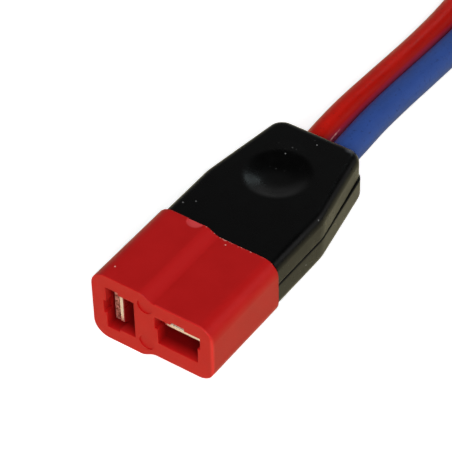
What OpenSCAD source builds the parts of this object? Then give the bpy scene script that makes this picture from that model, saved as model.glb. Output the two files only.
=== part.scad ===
// Two-pole T-plug socket on a 100 mm pigtail: a red nylon housing, two plated contacts with
// leaf springs, a black cover in two shells and a red and a blue silicone lead.
// Millimetres, +Z up. The mating face looks along -Y and the leads leave along +Y.
// The origin is the middle of the connector's base, on the surface that it lies on.

/* [Housing] */
// Width of the housing
housing_w = 16; // [15:0.1:18]
// Length of the housing in front of the cover
housing_len = 12.5; // [12.2:0.1:16]
// Height of the side with the upright socket
thick_h = 9.4; // [8.8:0.1:11]
// Height of the side with the flat socket
thin_h = 7.8; // [7:0.1:8.8]
// Radius of the housing's four long edges
edge_r = 2; // [1:0.1:2.4]
// Distance from the middle to the middle of the slope that joins the two heights
slope_shift = 0.65; // [0.4:0.05:1]
// Width of that slope
slope_run = 2.1; // [1.5:0.05:2.4]

/* [Sockets] */
// Depth of both sockets from the mating face
socket_depth = 11; // [9:0.1:11.6]
// Wall between the housing's left side and the upright socket
upright_wall = 1.9; // [1.5:0.05:2.1]
// Wall between the housing's right side and the flat socket
flat_wall = 1.7; // [1.3:0.05:1.9]
// Width of the channel that holds a contact and its spring
channel_w = 5.9; // [5.6:0.1:6.1]
// Depth of that channel, measured across the contact
channel_d = 1.65; // [1.5:0.05:1.8]
// Width of the space that the plug's blade enters
blade_w = 5.2; // [4.8:0.1:5.3]
// Depth of that space, measured across the blade
blade_d = 2.1; // [1.8:0.05:2.2]
// Height of the flat socket's contact above the middle of the housing
flat_rise = 0.35; // [0.2:0.05:0.6]
// Width of the assembly notch in each socket's mouth
notch_w = 1.8; // [1.5:0.1:2.4]
// Depth of that notch
notch_d = 0.35; // [0.2:0.05:0.5]
// Length of that notch, inwards from the mating face
notch_len = 1.2; // [0.9:0.1:1.6]

/* [Contacts] */
// Thickness of a contact blade
contact_t = 0.65; // [0.5:0.05:0.75]
// Distance from the mating face to a contact's front end
contact_set = 1; // [0.8:0.1:1.6]
// Width of a contact's front end, narrower than its blade
nose_w = 4.6; // [4:0.1:5]
// Length over which a contact widens behind its front end
nose_len = 0.9; // [0.5:0.1:1.5]
// Bevel on the edges of that front end
nose_bevel = 0.1; // [0.05:0.05:0.2]
// Width of a contact's tail and solder tab
tail_w = 2.4; // [2:0.1:2.6]
// Length of the solder tab behind the housing
tab_len = 5.5; // [4.5:0.1:6]
// Thickness of a leaf spring
spring_t = 0.25; // [0.2:0.01:0.3]
// Width of a leaf spring
spring_w = 4.5; // [4:0.1:5]

/* [Cover] */
// Step in from the housing's side to the cover's side
cover_inset = 0.15; // [0.05:0.05:0.4]
// Height of the upper shell above the seam
upper_h = 3.7; // [3.6:0.05:4]
// Height of the lower shell below the seam
lower_h = 3.3; // [3.25:0.05:3.7]
// Length of the cover's parallel part
cover_straight = 9; // [8:0.1:10]
// Length of the cover's tapered part
cover_taper = 12; // [11.8:0.1:16]
// Width of the cover at its rear end
rear_w = 11.5; // [11:0.1:12.4]
// Radius of the upper shell's outer edges
upper_r = 1.2; // [0.8:0.1:1.7]
// Radius of the lower shell's outer edges
lower_r = 1.6; // [0.8:0.1:1.7]
// Radius of the cover's corners, seen from above
corner_r = 2; // [1.8:0.1:2.6]
// Wall of the two shells
shell_wall = 1; // [0.8:0.05:1.05]
// Wall at the rear, which grips the leads
rear_wall = 3.5; // [2.5:0.1:4]
// Distance of the upper shell's rear end from the lower one's, towards the left
shell_slip = 0.2; // [0:0.05:0.3]
// Width of the shadow groove along the seam
groove_w = 0.2; // [0.1:0.05:0.3]
// Height of that groove
groove_h = 0.2; // [0.1:0.05:0.3]
// Length of the front lip, which holds the housing's neck
lip_len = 1.6; // [1.2:0.1:2]
// Height by which that lip grips behind the housing's flange
lip_grip = 0.5; // [0.3:0.05:0.55]
// Length of the housing's flange behind the lip
flange_len = 1.5; // [1.2:0.1:2]

/* [Grip] */
// Radius of the thumb hollow on top of the cover
grip_r = 4.3; // [3.5:0.1:4.6]
// Depth of the thumb hollow
grip_depth = 0.8; // [0.5:0.05:0.95]
// Steepness of its side near the rim, 1 for an even curve
grip_curve = 1.6; // [1:0.1:2]
// Distance from the cover's front to the middle of the hollow
grip_back = 12.3; // [11.8:0.1:13.6]
// Distance of the hollow's middle from the cover's, towards the right
grip_shift = -0.4; // [-0.8:0.1:0.8]

/* [Leads] */
// Diameter of a lead over its insulation
lead_od = 3.5; // [3:0.1:3.7]
// Diameter of the stranded conductor
core_d = 1.9; // [1.5:0.05:2]
// Length of the tinned bare end
tip_len = 6; // [4:0.5:10]
// Radius of a solder joint around the conductor
solder_r = 1.4; // [1.2:0.05:1.45]

/* [Fits] */
// Clearance on each side of pieces that slot together
fit_gap = 0.1; // [0.05:0.01:0.12]
// Clearance around a lead in its hole
lead_gap = 0.05; // [0.03:0.01:0.1]
// Clearance of parts that press on each other
seat_gap = 0.02; // [0.01:0.01:0.04]

/* [Hidden] */
$fn = 64;

// Overrun of a cutting solid past the face that it cuts
over = 1;
// Thickness of the thin slices that span a hull
slice = 0.01;

total_len = housing_len + cover_straight + cover_taper;
y_face = -total_len / 2;
y_joint = y_face + housing_len;
y_kink = y_joint + cover_straight;
y_rear = total_len / 2;
z_mid = thick_h / 2;

// Cover: its sides, its inside and the taper of its plan
cover_w = housing_w - 2 * cover_inset;
taper_angle = atan((cover_w - rear_w) / 2 / cover_taper);
y_inside = y_joint + lip_len;
y_back = y_rear - rear_wall;
upper_in = upper_h - shell_wall;
lower_in = lower_h - shell_wall;

// Housing's flange and neck, which the shells hold
flange_x = cover_w / 2 - shell_wall - fit_gap;
flange_up = upper_in - fit_gap;
flange_down = lower_in - fit_gap;
neck_x = flange_x - lip_grip;
neck_up = flange_up - lip_grip;
neck_down = flange_down - lip_grip;
y_flange = y_inside + fit_gap;
y_tail = y_flange + flange_len;
y_tab = y_tail + tab_len;

// Sockets: the plane that each contact rests on, and the middle of each socket
upright_x = -housing_w / 2 + upright_wall + channel_d;
flat_x = housing_w / 2 - flat_wall - channel_w / 2;
flat_z = z_mid + flat_rise;
contact_w = channel_w - 2 * fit_gap;
y_contact = y_face + contact_set;
y_stop = y_face + socket_depth;

// Leaf spring: an arch between the contact's back and the channel's wall. Its front lip stands
// up beside the contact's nose, clear of that wall, and its rear end has room to slide as the
// arch flattens.
spring_set = 0.05;
spring_room = 0.6;
lip_room = 0.4;
spring_low = contact_t + seat_gap;
spring_rise = channel_d - seat_gap - spring_t - spring_low;
spring_front = y_contact + spring_set;
spring_back = y_stop - spring_room;
SPRING_STEPS = 16;

// Marks left by the mould
pin_mark_r = 1;
pin_mark_d = 0.15;
pin_mark_x = -0.8;
pin_mark_up = 2.95;
pin_mark_down = 2.45;
gate_mark_r = 1.05;
gate_mark_x = -2.8;

// Cover details: the web between the solder joints, and the locating pegs beside the leads
web_t = 0.8;
peg_r = 0.6;
peg_h = 1;
boss_r = 1;
boss_back = 7.5;
grip_wall = 0.75;
GRIP_STEPS = 14;

// Half the gap between the two leads where they leave the cover
lead_apart = 0.02;

// Route of the two leads. Each row is the pair's sideways drift, half the gap between the leads,
// the distance behind the cover, and the height: 1 at the exit, 0 on the bench.
LEAD_ROUTE = [
    [0, 0.6, -9.5, 1],
    [0, lead_apart, -4, 1],
    [0, lead_apart, 0, 1],
    [-0.19, 0.1, 4, 0.99],
    [-0.4, 0.06, 9, 0.93],
    [-0.52, lead_apart, 15, 0.76],
    [-0.64, lead_apart, 21, 0.54],
    [-0.8, 0.05, 27, 0.33],
    [-1.15, 0.15, 34, 0.13],
    [-1.75, 0.4, 43, 0],
    [-2.35, 1, 53, 0],
    [-2.8, 2, 63, 0],
    [-3, 3.2, 73, 0],
    [-3.1, 4.2, 82, 0],
    [-3.1, 4.2, 90, 0]];
LEAD_SIDES = 8;
CORE_SIDES = 12;
lead_r = lead_od / 2;
lead_x = lead_r + lead_apart;
core_r = core_d / 2;

// Solder joints: the middle line of each conductor where it lies on its tab, and how far the
// conductor and the solder stand back from the flange and from the tab's end
flat_core_shift = 0.45;
core_in = 0.8;
core_past = 0.3;
solder_in = 0.6;
solder_short = 0.4;
upright_core = [upright_x + seat_gap + core_r, z_mid];
flat_core = [flat_x - flat_core_shift, flat_z - seat_gap - core_r];
core_start = y_tail + core_in;
core_bend = y_tab + core_past;
solder_start = y_tail + solder_in;
solder_end = y_tab - solder_short;

function smooth(t) = t * t * (3 - 2 * t);

function slope_x(t) = -slope_shift + slope_run * (t - 0.5);

function half_height(t) = (thick_h + (thin_h - thick_h) * smooth(t)) / 2;

function lead_point(row, side) = [
    row[0] + side * (lead_r + row[1]),
    y_rear + row[2],
    lead_r + row[3] * (z_mid - lead_r)];

function lead_path(side) = [for (row = LEAD_ROUTE) lead_point(row, side)];

function unit(v) = v / norm(v);

function heading(path, i) = unit(path[min(i + 1, len(path) - 1)] - path[max(i - 1, 0)]);

// Ring of n points around a tube's path, with one corner straight down
function ring(path, i, r, n) =
    let (ahead = heading(path, i),
         across = unit(cross(ahead, [0, 0, 1])),
         up = cross(across, ahead))
    [for (k = [0:n - 1])
        let (a = 360 * k / n)
        path[i] + r * (sin(a) * across - cos(a) * up)];

// Half width of the cover's plan at y, drawn in by inset
function plan_half(y, inset) =
    y <= y_kink ? cover_w / 2 - inset
                : cover_w / 2 - (y - y_kink) * tan(taper_angle) - inset / cos(taper_angle);

// Tube of radius r with n sides, swept along a path
module tube(path, r, n) {
    last = len(path) - 1;
    sides = [for (i = [0:last - 1], k = [0:n - 1])
        [i * n + k, i * n + (k + 1) % n, (i + 1) * n + (k + 1) % n, (i + 1) * n + k]];
    near_end = [for (k = [n - 1:-1:0]) k];
    far_end = [for (k = [0:n - 1]) last * n + k];
    polyhedron(points = [for (i = [0:last], p = ring(path, i, r, n)) p],
               faces = concat([near_end], sides, [far_end]), convexity = 6);
}

// Cylinder along +Y from y0 to y1 at x, z
module rod(x, z, r, y0, y1) {
    translate([x, y0, z]) rotate([-90, 0, 0]) cylinder(r = r, h = y1 - y0);
}

// Section of the housing across its length: tall on the left, lower on the right
module housing_section() {
    x_left = slope_x(0);
    x_right = slope_x(1);
    wide = housing_w / 2;
    steps = 10;
    slope_top = [for (i = [0:steps]) [slope_x(i / steps), half_height(i / steps)]];
    slope_bottom = [for (i = [steps:-1:0]) [slope_x(i / steps), -half_height(i / steps)]];
    polygon(concat(slope_top, slope_bottom));
    round_end(-wide, x_left + slice, thick_h, -1);
    round_end(x_right - slice, wide, thin_h, 1);
}

// Rectangle from x0 to x1 of height h with the two corners on one side rounded
module round_end(x0, x1, h, side) {
    x_corner = side < 0 ? x0 + edge_r : x1 - edge_r;
    translate([x0, edge_r - h / 2]) square([x1 - x0, h - 2 * edge_r]);
    translate([side < 0 ? x_corner : x0, -h / 2])
        square([side < 0 ? x1 - x_corner : x_corner - x0, h]);
    for (s = [-1, 1])
        translate([x_corner, s * (h / 2 - edge_r)]) circle(r = edge_r);
}

// Stands a flat X-Z section up and runs it from y0 to y1
module run_along(y0, y1) {
    translate([0, y1, z_mid]) rotate([90, 0, 0]) linear_extrude(y1 - y0) children();
}

module at_flat() {
    translate([flat_x, 0, flat_z]) children();
}

module at_upright() {
    translate([upright_x, 0, z_mid]) rotate([0, -90, 0]) children();
}

// Hollow of one socket. Z is 0 where the contact rests and rises towards the spring.
module socket_hollow() {
    tail_cut = tail_w + 2 * fit_gap;
    translate([-channel_w / 2, y_face - over, 0])
        cube([channel_w, socket_depth + over, channel_d]);
    translate([-blade_w / 2, y_face - over, -blade_d])
        cube([blade_w, socket_depth + over, blade_d + slice]);
    translate([-notch_w / 2, y_face - over, 0])
        cube([notch_w, notch_len + over, channel_d + notch_d]);
    translate([-tail_cut / 2, y_stop - slice, -fit_gap])
        cube([tail_cut, y_tail - y_stop + over, contact_t + 2 * fit_gap]);
}

module neck_block(half_x, up, down, y0, y1) {
    translate([-half_x, y0, z_mid - down]) cube([2 * half_x, y1 - y0, up + down]);
}

module housing() {
    color([0.72, 0.08, 0.07]) difference() {
        union() {
            run_along(y_face, y_joint) housing_section();
            neck_block(neck_x, neck_up, neck_down, y_joint - slice, y_flange + slice);
            neck_block(flange_x, flange_up, flange_down, y_flange, y_tail);
        }
        at_flat() socket_hollow();
        at_upright() socket_hollow();
        for (rise = [pin_mark_up, -pin_mark_down])
            rod(pin_mark_x, z_mid + rise, pin_mark_r, y_face - over, y_face + pin_mark_d);
        translate([gate_mark_x, y_joint, thick_h - pin_mark_d]) cylinder(r = gate_mark_r, h = over);
    }
}

// Plated blade with a bevelled and narrowed nose, and its tail through the housing to the
// solder tab
module contact() {
    y_end = y_stop - fit_gap;
    half = contact_w / 2;
    side_view = [[y_contact, nose_bevel], [y_contact + nose_bevel, 0], [y_end, 0],
                 [y_end, contact_t], [y_contact + nose_bevel, contact_t],
                 [y_contact, contact_t - nose_bevel]];
    top_view = [[-nose_w / 2, y_contact], [nose_w / 2, y_contact],
                [half, y_contact + nose_len], [half, y_end],
                [-half, y_end], [-half, y_contact + nose_len]];
    intersection() {
        translate([-half, 0, 0]) rotate([90, 0, 90]) linear_extrude(contact_w) polygon(side_view);
        linear_extrude(contact_t) polygon(top_view);
    }
    translate([-tail_w / 2, y_stop - fit_gap - slice, 0])
        cube([tail_w, y_tab - y_stop + fit_gap + slice, contact_t]);
}

module upright_contact() {
    color([0.86, 0.74, 0.46]) at_upright() contact();
}

module flat_contact() {
    color([0.86, 0.74, 0.46]) at_flat() contact();
}

// Arched leaf that presses the contact on the plug's blade, with a lip at its front end
module leaf_spring() {
    y_leaf = spring_front + spring_t;
    y_span = spring_back - y_leaf;
    tip_z = channel_d - lip_room;
    function leaf(i, lift) = [
        y_leaf + y_span * i / SPRING_STEPS,
        spring_low + lift + spring_rise * sin(180 * i / SPRING_STEPS)];
    under = [for (i = [0:SPRING_STEPS]) leaf(i, 0)];
    above = [for (i = [SPRING_STEPS:-1:0]) leaf(i, spring_t)];
    lip = [[y_leaf, tip_z], [spring_front, tip_z], [spring_front, spring_low]];
    translate([-spring_w / 2, 0, 0])
        rotate([90, 0, 90]) linear_extrude(spring_w) polygon(concat(under, above, lip));
}

module upright_spring() {
    color([0.68, 0.52, 0.42]) at_upright() leaf_spring();
}

module flat_spring() {
    color([0.68, 0.52, 0.42]) at_flat() leaf_spring();
}

// Middles of the four rounds that fit into the corners of the cover's plan. The two at the rear
// lie further left by slip.
function corner_middles(slip) =
    let (kink = [cover_w / 2 - corner_r, y_kink - corner_r * tan(taper_angle / 2)],
         rear_x = rear_w / 2 - corner_r * cos(taper_angle) / (1 + sin(taper_angle)))
    concat([for (s = [-1, 1]) [s * kink[0], kink[1]]],
           [for (s = [-1, 1]) [s * rear_x - slip, y_rear - corner_r]]);

// Post with a rounded top, from z = 0 to h. It stands in the corners of a shell's hull.
module domed_post(edge, h) {
    arc = [for (a = [0:11.25:90]) [corner_r - edge + edge * cos(a), h - edge + edge * sin(a)]];
    rotate_extrude($fn = 32) polygon(concat([[0, 0], [corner_r, 0]], arc, [[0, h]]));
}

// Outer form of a shell, from the seam at z = 0 up to h, with its rear end further left by slip
module shell_form(h, edge, slip) {
    hull() {
        translate([-cover_w / 2, y_joint, 0]) cube([cover_w, slice, slice]);
        for (s = [-1, 1])
            translate([s * (cover_w / 2 - edge), y_joint, h - edge])
                rotate([-90, 0, 0]) cylinder(r = edge, h = slice, $fn = 32);
        for (p = corner_middles(slip))
            translate([p[0], p[1], 0]) domed_post(edge, h);
    }
}

// Flat outline of a shell drawn in by inset, with round corners
module shell_outline(inset, slip) {
    hull() {
        translate([inset - cover_w / 2, y_joint - 2 * over])
            square([cover_w - 2 * inset, over]);
        for (p = corner_middles(slip))
            translate(p) circle(r = corner_r - inset, $fn = 32);
    }
}

// Flat plan of the cover drawn in by inset, from y0 to y1
module cover_plan(inset, y0, y1) {
    y_turn = y_kink - inset * tan(taper_angle / 2);
    right = [[plan_half(y0, inset), y0], [cover_w / 2 - inset, y_turn],
             [plan_half(y1, inset), y1]];
    left = [for (i = [2:-1:0]) [-right[i][0], right[i][1]]];
    polygon(concat(right, left));
}

module at_bosses() {
    y_boss = y_rear - boss_back;
    for (s = [-1, 1])
        translate([s * (plan_half(y_boss, shell_wall) - boss_r + fit_gap), y_boss, 0]) children();
}

// Hollow of a shell below a ceiling at z = h, with its web and bosses left standing
module shell_hollow(h) {
    difference() {
        translate([0, 0, -over]) linear_extrude(h + over) cover_plan(shell_wall, y_inside, y_back);
        translate([-web_t / 2, y_tail + fit_gap, -2 * over])
            cube([web_t, y_tab - y_tail, h + 3 * over]);
        at_bosses() translate([0, 0, -2 * over]) cylinder(r = boss_r, h = h + 3 * over);
    }
    translate([-neck_x - fit_gap, y_joint - over, -over])
        cube([2 * (neck_x + fit_gap), lip_len + 2 * over, over + h - lip_grip]);
    for (s = [-1, 1])
        rod(s * lead_x, 0, lead_r + lead_gap, y_back - over, y_rear + over);
}

// Shadow groove: a shallow step around a shell's edge at the seam
module seam_groove() {
    difference() {
        translate([-cover_w, y_joint - over, -over])
            cube([2 * cover_w, total_len, over + groove_h]);
        translate([0, 0, -2 * over]) linear_extrude(groove_h + 3 * over)
            shell_outline(groove_w, shell_slip);
    }
}

// Soft-rimmed hollow, turned from a smooth dip profile
module grip_hollow() {
    dip = [for (i = [0:GRIP_STEPS])
        let (t = i / GRIP_STEPS)
        [grip_r * t, -grip_depth * (1 - smooth(pow(t, grip_curve)))]];
    rotate_extrude() polygon(concat(dip, [[grip_r, over], [0, over]]));
}

module upper_cover() {
    y_grip = y_joint + grip_back;
    color([0.06, 0.06, 0.06]) translate([0, 0, z_mid]) {
        difference() {
            shell_form(upper_h, upper_r, shell_slip);
            difference() {
                shell_hollow(upper_in);
                translate([grip_shift, y_grip, upper_h - grip_depth - grip_wall])
                    cylinder(r = grip_r, h = over + grip_depth);
            }
            seam_groove();
            translate([grip_shift, y_grip, upper_h]) grip_hollow();
        }
        at_bosses() translate([0, 0, -peg_h]) cylinder(r = peg_r, h = peg_h + slice);
    }
}

module lower_cover() {
    color([0.07, 0.07, 0.07]) translate([0, 0, z_mid]) mirror([0, 0, 1]) difference() {
        shell_form(lower_h, lower_r, 0);
        shell_hollow(lower_in);
        at_bosses() translate([0, 0, -over]) cylinder(r = peg_r + lead_gap, h = over + peg_h + fit_gap);
    }
}

module red_lead() {
    color([0.66, 0.08, 0.06]) tube(lead_path(-1), lead_r, LEAD_SIDES);
}

module blue_lead() {
    color([0.14, 0.24, 0.55]) tube(lead_path(1), lead_r, LEAD_SIDES);
}

// Stripped strands: straight along the tab, then slanted to the lead's end
module lead_core(line, side) {
    lead = lead_path(side);
    path = [[line[0], core_start, line[1]], [line[0], y_tab, line[1]],
            [line[0], core_bend, line[1]], lead[0] - core_r * heading(lead, 0), lead[0]];
    tube(path, core_r, CORE_SIDES);
}

module red_lead_core() {
    color([0.75, 0.74, 0.72]) lead_core(upright_core, -1);
}

module blue_lead_core() {
    color([0.75, 0.74, 0.72]) lead_core(flat_core, 1);
}

// Solder round a straight conductor at line, thick in the middle and cut flat by the tab.
// The tab lies on the side that the angle names, seen along +Y.
module solder_joint(line, tab_angle) {
    run = solder_end - solder_start;
    collar = core_r + (solder_r - core_r) / 3;
    swell = [for (t = [0:0.125:1])
        [collar + (solder_r - collar) * sin(180 * t), run * t]];
    translate([line[0], solder_start, line[1]]) rotate([-90, 0, 0]) difference() {
        rotate_extrude() polygon(concat([[0, 0]], swell, [[0, run]]));
        translate([0, 0, -over]) linear_extrude(run + 2 * over) {
            rotate(90) circle(r = core_r, $fn = CORE_SIDES);
            rotate(tab_angle) translate([core_r + seat_gap, -solder_r - over])
                square(2 * (solder_r + over));
        }
    }
}

module red_solder_joint() {
    color([0.8, 0.8, 0.8]) solder_joint(upright_core, 180);
}

module blue_solder_joint() {
    color([0.8, 0.8, 0.8]) solder_joint(flat_core, -90);
}

// Tinned end of a conductor, which lies along +Y
module lead_tip(side) {
    end = lead_point(LEAD_ROUTE[len(LEAD_ROUTE) - 1], side);
    rod(end[0], end[2], core_r, end[1], end[1] + tip_len);
}

module red_lead_tip() {
    color([0.78, 0.78, 0.76]) lead_tip(-1);
}

module blue_lead_tip() {
    color([0.78, 0.78, 0.76]) lead_tip(1);
}

housing();
upright_contact();
flat_contact();
upright_spring();
flat_spring();
upper_cover();
lower_cover();
red_lead();
blue_lead();
red_lead_core();
blue_lead_core();
red_solder_joint();
blue_solder_joint();
red_lead_tip();
blue_lead_tip();
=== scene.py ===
# %% [markdown]
# # A T-plug socket with its pigtail
#
# This notebook dresses a small power connector for a photograph. The real thing has a red nylon
# housing with two plated contacts, a black clip-on cover over the solder joints, and a red and a
# blue silicone lead. The engineering model gives every piece its size and place, so nothing here is
# measured again: each step reads from the model where a piece is, and adds what the eye sees.

# %% Load the engineering model
import math

import bmesh
import bpy
from mathutils import Matrix, Vector


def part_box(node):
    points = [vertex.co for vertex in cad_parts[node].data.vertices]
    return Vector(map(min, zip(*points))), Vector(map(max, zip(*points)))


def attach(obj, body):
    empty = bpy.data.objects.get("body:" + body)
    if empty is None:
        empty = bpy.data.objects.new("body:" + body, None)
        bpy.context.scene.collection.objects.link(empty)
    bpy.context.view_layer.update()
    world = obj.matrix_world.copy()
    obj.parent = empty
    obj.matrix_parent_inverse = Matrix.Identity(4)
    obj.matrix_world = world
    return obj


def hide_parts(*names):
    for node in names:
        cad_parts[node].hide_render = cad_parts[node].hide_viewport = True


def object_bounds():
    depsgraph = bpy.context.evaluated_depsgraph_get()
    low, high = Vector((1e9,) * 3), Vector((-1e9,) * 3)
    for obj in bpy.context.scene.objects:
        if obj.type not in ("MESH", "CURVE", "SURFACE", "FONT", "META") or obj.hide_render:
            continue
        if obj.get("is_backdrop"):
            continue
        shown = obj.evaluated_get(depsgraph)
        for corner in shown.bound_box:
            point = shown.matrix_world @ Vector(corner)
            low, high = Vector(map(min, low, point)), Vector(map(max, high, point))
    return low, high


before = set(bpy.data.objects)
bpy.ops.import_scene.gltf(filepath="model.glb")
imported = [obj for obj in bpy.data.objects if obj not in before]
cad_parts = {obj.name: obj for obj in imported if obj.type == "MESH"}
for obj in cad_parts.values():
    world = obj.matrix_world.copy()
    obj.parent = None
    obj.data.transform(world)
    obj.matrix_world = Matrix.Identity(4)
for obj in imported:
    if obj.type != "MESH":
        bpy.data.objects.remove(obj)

MM = 0.001
cad_low, cad_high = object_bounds()
print("model size in mm:", [round((b - a) / MM, 2) for a, b in zip(cad_low, cad_high)])

# %% [markdown]
# ## Landmarks
#
# A few places are used again and again: the mating face, the joint between housing and cover, the
# cover's rear end and the seam between its two shells. They are read from the boxes of the pieces,
# so they follow the model if its sizes change.

# %% Landmarks read from the model
face_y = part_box("housing")[0].y
joint_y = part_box("upper_cover")[0].y
rear_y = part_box("lower_cover")[1].y
seam_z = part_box("lower_cover")[1].z
for place, y in (("mating face", face_y), ("joint", joint_y), ("rear end", rear_y)):
    print(place, "at y =", round(y / MM, 2), "mm")

# %% [markdown]
# ## The camera
#
# The camera comes first, because it decides what matters. The connector was photographed from above
# its front corner with a long lens, so lines that are parallel stay nearly parallel. Three turns
# make the view: round the vertical, down towards the bench, and a small tilt of the camera itself.

# %% Camera
CAMERA_PLACE = Vector((110.209, -155.14, 183.208)) * MM
CAMERA_AZIMUTH = math.radians(35.86)
CAMERA_ELEVATION = math.radians(42.82)
CAMERA_ROLL = math.radians(-1.66)
SENSOR_WIDTH = 36.0
LENS = 186.67

camera_data = bpy.data.cameras.new("camera")
camera_data.sensor_width = SENSOR_WIDTH
camera_data.lens = LENS
camera = bpy.data.objects.new("camera", camera_data)
bpy.context.scene.collection.objects.link(camera)
camera.matrix_world = (
    Matrix.Translation(CAMERA_PLACE)
    @ Matrix.Rotation(CAMERA_AZIMUTH, 4, "Z")
    @ Matrix.Rotation(math.radians(90) - CAMERA_ELEVATION, 4, "X")
    @ Matrix.Rotation(CAMERA_ROLL, 4, "Z")
)
bpy.context.scene.camera = camera
print("camera stands", round(CAMERA_PLACE.length / MM), "mm from the connector")

# %% [markdown]
# ## The route of the leads
#
# Each lead leaves the cover straight, comes down to the bench under its own weight and lies on it,
# and the pair opens a little towards the ends. The route is a short list of given points,
# the same ones that the model has. A smooth line through them is a Catmull-Rom curve: it passes
# through every point, and its slope there comes from the two neighbours.

# %% Points of the two leads
LEAD_RADIUS = 1.75 * MM
CORE_RADIUS = 0.95 * MM
LEAD_APART = 0.02
# Each row: sideways drift of the pair, half the gap between them, distance behind the cover, and
# the height, which is 1 at the exit and 0 on the bench
LEAD_ROUTE = [
    [0, 0.6, -9.5, 1],
    [0, LEAD_APART, -4, 1],
    [0, LEAD_APART, 0, 1],
    [-0.19, 0.1, 4, 0.99],
    [-0.4, 0.06, 9, 0.93],
    [-0.52, LEAD_APART, 15, 0.76],
    [-0.64, LEAD_APART, 21, 0.54],
    [-0.8, 0.05, 27, 0.33],
    [-1.15, 0.15, 34, 0.13],
    [-1.75, 0.4, 43, 0],
    [-2.35, 1, 53, 0],
    [-2.8, 2, 63, 0],
    [-3, 3.2, 73, 0],
    [-3.1, 4.2, 82, 0],
    [-3.1, 4.2, 90, 0],
]
RED, BLUE = -1, 1


def lead_points(side):
    """The route of one lead, in metres."""
    points = []
    for drift, apart, back, height in LEAD_ROUTE:
        x = drift * MM + side * (LEAD_RADIUS + apart * MM)
        z = LEAD_RADIUS + height * (seam_z - LEAD_RADIUS)
        points.append(Vector((x, rear_y + back * MM, z)))
    return points


def smooth_line(points, steps=6):
    """A Catmull-Rom curve through the points, as a dense row of points."""
    ends = [2 * points[0] - points[1], *points, 2 * points[-1] - points[-2]]
    line = []
    for a, b, c, d in zip(ends, ends[1:], ends[2:], ends[3:]):
        for i in range(steps):
            t = i / steps
            pull = (c - a) * t + (2 * a - 5 * b + 4 * c - d) * t**2 + (3 * b - a - 3 * c + d) * t**3
            line.append(b + pull / 2)
    return [*line, points[-1]]


def line_length(line):
    return sum((b - a).length for a, b in zip(line, line[1:]))


def on_bench(line, radius):
    """The line, kept from dipping into the bench."""
    return [Vector((p.x, p.y, max(p.z, radius))) for p in line]


red_line = on_bench(smooth_line(lead_points(RED)), LEAD_RADIUS)
blue_line = on_bench(smooth_line(lead_points(BLUE)), LEAD_RADIUS)
for name, line in (("red", red_line), ("blue", blue_line)):
    print(name, "lead is", round(line_length(line) / MM, 1), "mm long")

# %% [markdown]
# ## Small helpers for meshes
#
# Every piece ends as a plain mesh whose object sits at the origin. These helpers add an object to
# the scene, and turn the result of its modifiers into a plain mesh, so that the mesh holds
# exactly what is seen.

# %% Helpers that add and settle objects


def add_object(name, mesh):
    piece = bpy.data.objects.new(name, mesh)
    bpy.context.scene.collection.objects.link(piece)
    return piece


def add_work(name, work):
    """Adds an object with the mesh that was made in the bmesh called work."""
    bmesh.ops.recalc_face_normals(work, faces=work.faces)
    mesh = bpy.data.meshes.new(name)
    work.to_mesh(mesh)
    work.free()
    return add_object(name, mesh)


def settle(piece):
    """Turns the evaluated piece into a plain mesh and takes its modifiers away."""
    graph = bpy.context.evaluated_depsgraph_get()
    settled = bpy.data.meshes.new_from_object(piece.evaluated_get(graph))
    piece.modifiers.clear()
    piece.data = settled
    return piece


def line_object(name, line):
    """A bare row of joined points, which Geometry Nodes can turn into a curve."""
    mesh = bpy.data.meshes.new(name)
    mesh.from_pydata(line, [(i, i + 1) for i in range(len(line) - 1)], [])
    return add_object(name, mesh)


# %% [markdown]
# ## Helpers for node trees
#
# Both kinds of node tree are written the same way: a helper adds a node, sets its options, and joins
# its inputs either to a value or to another node's output. That keeps each tree as readable as a
# formula.

# %% Helpers that build node trees


def join(tree, value, socket):
    """Joins another node's output to the socket, or gives the socket a plain value."""
    if isinstance(value, bpy.types.NodeSocket):
        tree.links.new(value, socket)
    else:
        socket.default_value = value


def add_node(tree, kind, inputs=None, **options):
    """Adds a node. An input is a value, or the output socket of an earlier node."""
    node = tree.nodes.new(kind)
    for option, value in options.items():
        setattr(node, option, value)
    for key, value in (inputs or {}).items():
        join(tree, value, node.inputs[key])
    return node


def in_use(sockets, name):
    """The socket of that name that is in use. Some nodes keep one for each type of data."""
    return next(s for s in sockets if s.name == name and s.enabled)


def ramp_node(tree, value, low, high, to_low=0.0, to_high=1.0):
    """Maps a value from low..high to to_low..to_high, and holds it there."""
    inputs = {0: value, 1: low, 2: high, 3: to_low, 4: to_high}
    return add_node(tree, "ShaderNodeMapRange", inputs).outputs[0]


def number_node(tree, operation, a, b=0.0):
    return add_node(tree, "ShaderNodeMath", {0: a, 1: b}, operation=operation).outputs[0]


def vector_node(tree, operation, inputs, output="Vector"):
    """Works with vectors. LENGTH, DISTANCE and DOT_PRODUCT give their result at the output Value."""
    return add_node(tree, "ShaderNodeVectorMath", inputs, operation=operation).outputs[output]


def new_tree(name, inputs):
    """A Geometry Nodes tree with named inputs. Returns the tree and the outputs of its group input."""
    tree = bpy.data.node_groups.new(name, "GeometryNodeTree")
    tree.interface.new_socket("Geometry", in_out="INPUT", socket_type="NodeSocketGeometry")
    tree.interface.new_socket("Geometry", in_out="OUTPUT", socket_type="NodeSocketGeometry")
    for socket_name, kind, value in inputs:
        socket = tree.interface.new_socket(socket_name, in_out="INPUT", socket_type=kind)
        if value is not None:
            socket.default_value = value
    return tree, tree.nodes.new("NodeGroupInput").outputs


def close_tree(tree, geometry, material):
    """Ends a tree in real geometry with its material."""
    real = add_node(tree, "GeometryNodeRealizeInstances", {"Geometry": geometry})
    inputs = {"Geometry": real.outputs[0], "Material": material}
    painted = add_node(tree, "GeometryNodeSetMaterial", inputs)
    add_node(tree, "NodeGroupOutput", {"Geometry": painted.outputs[0]})


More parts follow.
